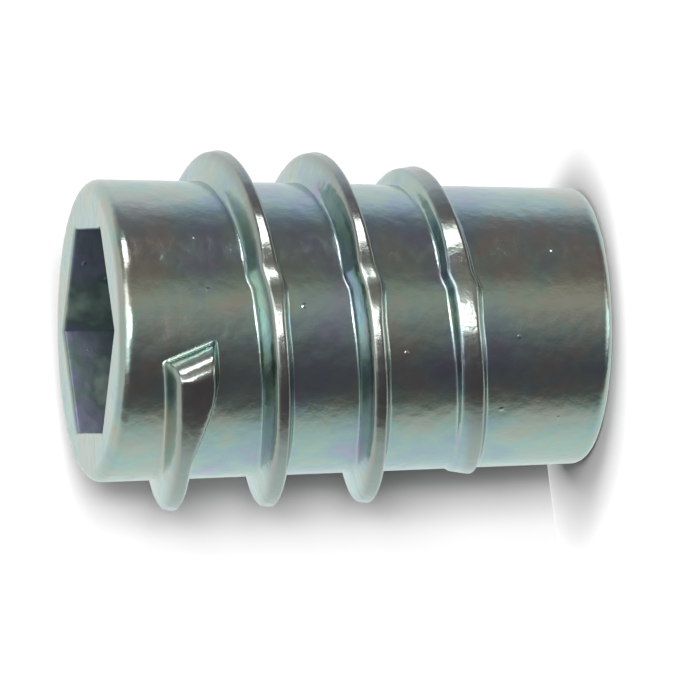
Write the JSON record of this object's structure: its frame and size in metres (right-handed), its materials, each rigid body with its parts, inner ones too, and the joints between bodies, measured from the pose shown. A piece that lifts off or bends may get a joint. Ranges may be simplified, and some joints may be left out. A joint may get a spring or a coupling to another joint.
{
  "type": "threaded insert",
  "caption": "Hex-socket insert nut for wood: tapered cast zinc body, coarse right-hand ridge thread outside, tapped bolt bore through the nose.",
  "frame": {"origin": "on the axis, in the plane of the nose's end face", "axes": "+Z along the axis from the nose to the drive face; two flats of the hexagon socket face +X and -X"},
  "size_m": [0.0107, 0.0106, 0.015],
  "materials": {
    "zinc_plate": "bright zinc plate on a zinc casting, satin, with a faint blue-green tint"
  },
  "bodies": {
    "root": {"insert_body": "zinc_plate"}
  },
  "joints": []
}
